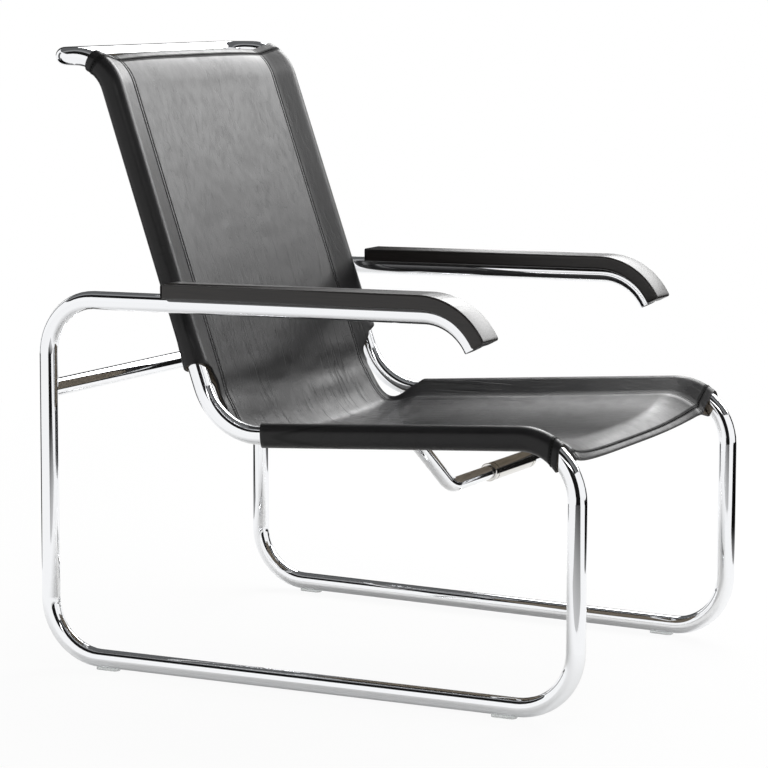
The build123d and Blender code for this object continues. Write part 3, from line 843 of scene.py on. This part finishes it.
# %% Grain side
def saddle_leather():
    """The grain side of black saddle hide."""
    material, tree = new_material("black_waxed_saddle_leather")
    place_on = node(tree, "TexCoord").outputs["Object"]
    clouds = node(tree, "TexNoise", {"Vector": place_on, "Scale": 1000 / 75.0, "Detail": 6.0,
                                     "Roughness": 0.62})
    blotches = drawn_noise(tree, place_on, 13.0, 5.0, (1, 0.7, 0.7), (0.2, 0.3, 0.4), 0.65)
    grain = node(tree, "TexNoise", {"Vector": place_on, "Scale": 1000 / 2.6, "Detail": 3.0,
                                    "Roughness": 0.7})
    lines = leather_lines(tree, place_on)
    seam = node(tree, "Attribute", attribute_name="stitched").outputs["Fac"]
    seam = node(tree, "MapRange", {"Value": seam, "From Min": 0.05, "From Max": 0.35})
    # sheen: cloudy, and dull in the lines and beside the thread
    gloss = node(tree, "Math", {0: clouds, 1: 0.35}, operation="MULTIPLY")
    gloss = node(tree, "Math", {0: blotches, 1: 0.65, 2: gloss}, operation="MULTIPLY_ADD")
    gloss = node(tree, "MapRange", {"Value": gloss, "From Min": 0.38, "From Max": 0.62,
                                    "To Min": 0.31, "To Max": 0.40})
    gloss = node(tree, "Math", {0: lines, 1: 0.12, 2: gloss}, operation="MULTIPLY_ADD")
    gloss = node(tree, "Math", {0: seam, 1: 0.35, 2: gloss}, operation="MULTIPLY_ADD")
    # in a colour Mix node, input 0 is the share and inputs 6 and 7 are the two colours
    tint = node(tree, "Mix", {0: clouds, 6: linear("0d0d0e"), 7: linear("1f1e1f")},
                data_type="RGBA").outputs[2]
    # painted shade: the colour goes near black along the stitch rows and in the draw lines
    painted_seam_and_crease_shade = node(tree, "Math", {0: seam, 1: lines}, operation="MAXIMUM")
    tint = node(tree, "Mix", {0: painted_seam_and_crease_shade, 6: tint, 7: linear("050505")},
                data_type="RGBA").outputs[2]
    relief = node(tree, "Bump", {"Height": grain, "Strength": 0.45, "Distance": 0.16 * MM})
    relief = node(tree, "Bump", {"Height": blotches, "Strength": 0.3, "Distance": 0.5 * MM,
                                 "Normal": relief})
    relief = node(tree, "Bump", {"Height": lines, "Strength": 0.5, "Distance": 0.4 * MM,
                                 "Normal": relief}, invert=True)
    return finish(material, "BsdfPrincipled", {"Base Color": tint, "Roughness": gloss,
                                               "Normal": relief, "IOR": 1.5,
                                               "Specular IOR Level": 0.28})


grain_side = saddle_leather()
print("grain side:", grain_side.name, "nodes:", len(grain_side.node_tree.nodes))

# %% [markdown]
# ## Flesh side, cut edge and thread
# The flesh side, seen from below and behind, is napped, dull and undyed. A cut edge is
# rubbed round and dyed black. The thread is waxed linen: its plies show as fine marks, and
# it is duller than the hide.

# %% Flesh side and edge
def napped_leather(name, dark, light, fibre_mm, roughness):
    """Flesh side or cut edge: dull fibres between two colours."""
    material, tree = new_material(name)
    place_on = node(tree, "TexCoord").outputs["Object"]
    fibres = node(tree, "TexNoise", {"Vector": place_on, "Scale": 1000 / fibre_mm,
                                     "Detail": 5.0, "Roughness": 0.7})
    patches = node(tree, "TexNoise", {"Vector": place_on, "Scale": 1000 / 45.0, "Detail": 4.0})
    share = node(tree, "Math", {0: patches, 1: 0.5}, operation="MULTIPLY")
    share = node(tree, "Math", {0: fibres, 1: 0.5, 2: share}, operation="MULTIPLY_ADD")
    share = node(tree, "MapRange", {"Value": share, "From Min": 0.38, "From Max": 0.62})
    tint = node(tree, "Mix", {0: share, 6: linear(dark), 7: linear(light)},
                data_type="RGBA").outputs[2]
    bump = node(tree, "Bump", {"Height": fibres, "Strength": 0.5,
                               "Distance": fibre_mm * 0.1 * MM})
    gloss = node(tree, "MapRange", {"Value": fibres, "To Min": roughness,
                                    "To Max": roughness + 0.1})
    return finish(material, "BsdfPrincipled", {"Base Color": tint, "Roughness": gloss,
                                               "Normal": bump, "Specular IOR Level": 0.2})


cut_edge = napped_leather("dyed_rubbed_leather_edge", "0c0b0b", "1c1a18", 0.8, 0.5)
flesh_side = napped_leather("napped_flesh_side_of_leather", "6f665b", "857c6f", 1.2, 0.85)
print("made:", cut_edge.name, flesh_side.name)


# %% Waxed thread
def waxed_thread():
    """Black waxed thread, with the fine marks of its plies."""
    material, tree = new_material("black_waxed_thread")
    place_on = node(tree, "TexCoord").outputs["Object"]
    plies = node(tree, "TexNoise", {"Vector": place_on, "Scale": 1000 / 0.5, "Detail": 2.0})
    tint = node(tree, "Mix", {0: plies, 6: linear("050505"), 7: linear("0e0e0e")},
                data_type="RGBA").outputs[2]
    bump = node(tree, "Bump", {"Height": plies, "Strength": 0.5, "Distance": 0.2 * MM})
    return finish(material, "BsdfPrincipled", {"Base Color": tint, "Roughness": 0.75,
                                               "Normal": bump, "Specular IOR Level": 0.12})


thread = waxed_thread()
print("thread:", thread.name)

# %% [markdown]
# ## From grid to leather
# Neighbouring grid points make faces. The front and top edges are doubled: a strip of the
# same hide lies under each, one layer down. The sheet then gets its thickness from a
# Solidify modifier, half to each side, and the cut edges get a small bevel, because the
# edges of saddle leather are rubbed round.

# %% The strips that double the front and top edges
def strip_rows(edge, inwards):
    """A second layer below the panel's edge, as rows of its own."""
    across = [-share for share in reversed(shares)] + shares[1:]
    lines = []
    for inside in (0, 2.5, 6, 9.5, 13, hem_depth):
        distance = edge + inwards * inside
        reach = half_width(side_line(distance)[0]) - tail_inset
        lines.append([place(distance, reach * share, hang(distance, share) + layer_step)
                      for share in across])
    return np.array(lines)


front_strip = strip_rows(0.0, 1)
top_strip = strip_rows(mark[5], -1)
print("strips:", front_strip.shape, top_strip.shape)

# %% Build the sheet
needle_points = {(r, c) for r in stitched_rows.values() for c in range(grid.shape[1])}
for side in (-1, 1):
    for part in ("top", "under"):
        columns = [middle_column + side * column_of[(part, inset)] for inset in stitch_insets]
        needle_points |= {(r, c) for r in range(len(distances)) for c in columns}


def sheet_mesh():
    """The middle layer of the whole hide, as one mesh of quads."""
    vertices, faces, number, stitched = [], [], {}, []

    def add_quads(name, points, there, flip=False):
        """Faces between neighbouring points, where all four belong to the hide."""
        for r in range(there.shape[0] - 1):
            for c in range(there.shape[1] - 1):
                corners = [(r, c), (r, c + 1), (r + 1, c + 1), (r + 1, c)]
                if not all(there[corner] for corner in corners):
                    continue
                for corner in corners:
                    if (name, corner) not in number:
                        number[name, corner] = len(vertices)
                        vertices.append(tuple(points[corner]))
                        stitched.append(float(name == "hide" and corner in needle_points))
                quad = [number[name, corner] for corner in corners]
                faces.append(quad[::-1] if flip else quad)

    add_quads("hide", grid, present)
    add_quads("front", front_strip, np.full(front_strip.shape[:2], True))
    add_quads("top", top_strip, np.full(top_strip.shape[:2], True), flip=True)
    mesh = bpy.data.meshes.new("leather_sling_hide")
    mesh.from_pydata(vertices, [], faces)
    mesh.attributes.new("stitched", "FLOAT", "POINT").data.foreach_set("value", stitched)
    return mesh


sling = put_in_scene("leather_sling_hide", sheet_mesh())

# %% Thickness and rounded rims
edge_slot, flesh_slot = 1, 2    # the grain side is slot 0
for leather in (grain_side, cut_edge, flesh_side):
    sling.data.materials.append(leather)
solid = sling.modifiers.new("hide_thickness", "SOLIDIFY")
solid.thickness = hide * MM
solid.offset = 0
solid.use_rim = True
solid.material_offset = flesh_slot
solid.material_offset_rim = edge_slot
bpy.context.view_layer.objects.active = sling
sling.select_set(True)
bpy.ops.object.modifier_apply(modifier="hide_thickness")

# a rim runs where a face of the cut edge meets a face of the hide
on_edge = {p.index for p in sling.data.polygons if p.material_index == edge_slot}
faces_of = {}
for p in sling.data.polygons:
    for key in p.edge_keys:
        faces_of.setdefault(key, []).append(p.index)
rims = {key for key, around in faces_of.items() if len(around) == 2 and
        (around[0] in on_edge) != (around[1] in on_edge)}
bevel_edges(sling, rims, 0.7 * MM, 2, clamp=True, sharp_angle=38)

# %% [markdown]
# ## Stitches
# The double seam is two rows of saddle stitches, about four millimetres a stitch. Single
# rows hold the doubled edges at the front and the top, and go on round the sleeves' ends
# there. The real thread is little over a millimetre thick. It is drawn two millimetres
# wide, because otherwise single stitches wouldn't show. One stitch is modelled as a small
# rounded bar, and copies of it are laid along the grid's own lines, a little sunk in.

# %% One stitch
stitch_pitch, stitch_length, thread_width = 4.2, 3.2, 2.0
sunk = hide / 2 - 0.1           # height of a stitch's middle above the hide's middle layer
slant = 0.12                    # a saddle stitch leans a little to one side
bpy.ops.mesh.primitive_uv_sphere_add(segments=6, ring_count=5, radius=0.5, location=(0, 0, 0))
pattern = bpy.context.object
bpy.ops.object.mode_set(mode="EDIT")
bpy.ops.transform.rotate(value=math.pi / 2, orient_axis="Y", center_override=(0, 0, 0))
bpy.ops.transform.resize(value=(stitch_length, thread_width, thread_width),
                         center_override=(0, 0, 0))
bpy.ops.object.mode_set(mode="OBJECT")
stitch_points = np.array([v.co[:] for v in pattern.data.vertices])
stitch_faces = [tuple(p.vertices) for p in pattern.data.polygons]
bpy.data.objects.remove(pattern)
print("one stitch:", len(stitch_points), "points")

# %% Lay stitches along a line
normals = np.cross(np.gradient(grid, axis=1), np.gradient(grid, axis=0))
normals /= np.linalg.norm(normals, axis=2, keepdims=True) + 1e-12
if normals[len(distances) // 3][middle_column][2] < 0:
    normals = -normals          # they point up out of the seat


def stitches_along(points, outward):
    """Copies of the stitch at an even pitch along a line, laid on a surface."""
    steps = np.linalg.norm(np.diff(points, axis=0), axis=1)
    run = np.concatenate([[0], np.cumsum(steps)])

    def along(values, spot):
        """The three values at a distance along the line."""
        return np.array([np.interp(spot, run, values[:, k]) for k in range(3)])

    count = int(run[-1] / (stitch_pitch * MM))
    made = []
    for number in range(count):
        spot = (number + 0.5) * run[-1] / count
        up = along(outward, spot)
        up /= np.linalg.norm(up)
        forward = along(points, min(spot + MM, run[-1])) - along(points, max(spot - MM, 0))
        forward -= up * forward.dot(up)
        forward /= np.linalg.norm(forward)
        forward = forward * math.cos(slant) + np.cross(up, forward) * math.sin(slant)
        axes = np.array([forward, np.cross(up, forward), up])
        made.append(stitch_points * MM @ axes + along(points, spot) + up * sunk * MM)
    return made


print("middle of the seat faces", normals[len(distances) // 3][middle_column].round(2))


# %% Double seams
def thread_piece(name, stitches):
    """One mesh of many stitches, that rides with the frame."""
    points, faces = [], []
    for number, shape in enumerate(stitches):
        points += [tuple(p) for p in shape]
        faces += [tuple(i + number * len(stitch_points) for i in face) for face in stitch_faces]
    mesh = bpy.data.meshes.new(name)
    mesh.from_pydata(points, [], faces)
    mesh.materials.append(thread)
    for p in mesh.polygons:
        p.use_smooth = True
    piece = put_in_scene(name, mesh)
    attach(piece, "frame")
    print(name, len(stitches), "stitches")
    return piece


for side, side_name in ((-1, "right"), (1, "left")):
    laid = []
    for inset in stitch_insets:
        for part in ("top", "under"):
            column = middle_column + side * column_of[(part, inset)]
            laid += stitches_along(grid[:, column], normals[:, column])
    thread_piece(f"double_seam_{side_name}", laid)

# %% Stitches of the doubled edges and the sleeves' ends
inner_row = min(stitch_insets)
on_top, on_under = column_of[("top", inner_row)], column_of[("under", inner_row)]
hem_laid, end_laid = [], []
span = slice(middle_column - on_top, middle_column + on_top + 1)
for r in stitched_rows.values():
    points, outward = grid[r, span], normals[r, span]
    hem_laid += stitches_along(points, outward)
    hem_laid += stitches_along(points - outward * layer_step * MM, -outward)
    for side in (-1, 1):
        first, last = sorted((middle_column + side * on_top, middle_column + side * on_under))
        end_laid += stitches_along(grid[r, first:last + 1], normals[r, first:last + 1])
thread_piece("hem_stitches", hem_laid)
thread_piece("sleeve_end_stitches", end_laid)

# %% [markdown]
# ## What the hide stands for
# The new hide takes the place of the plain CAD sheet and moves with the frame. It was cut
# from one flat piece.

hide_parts("leather_sling")
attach(sling, "frame")
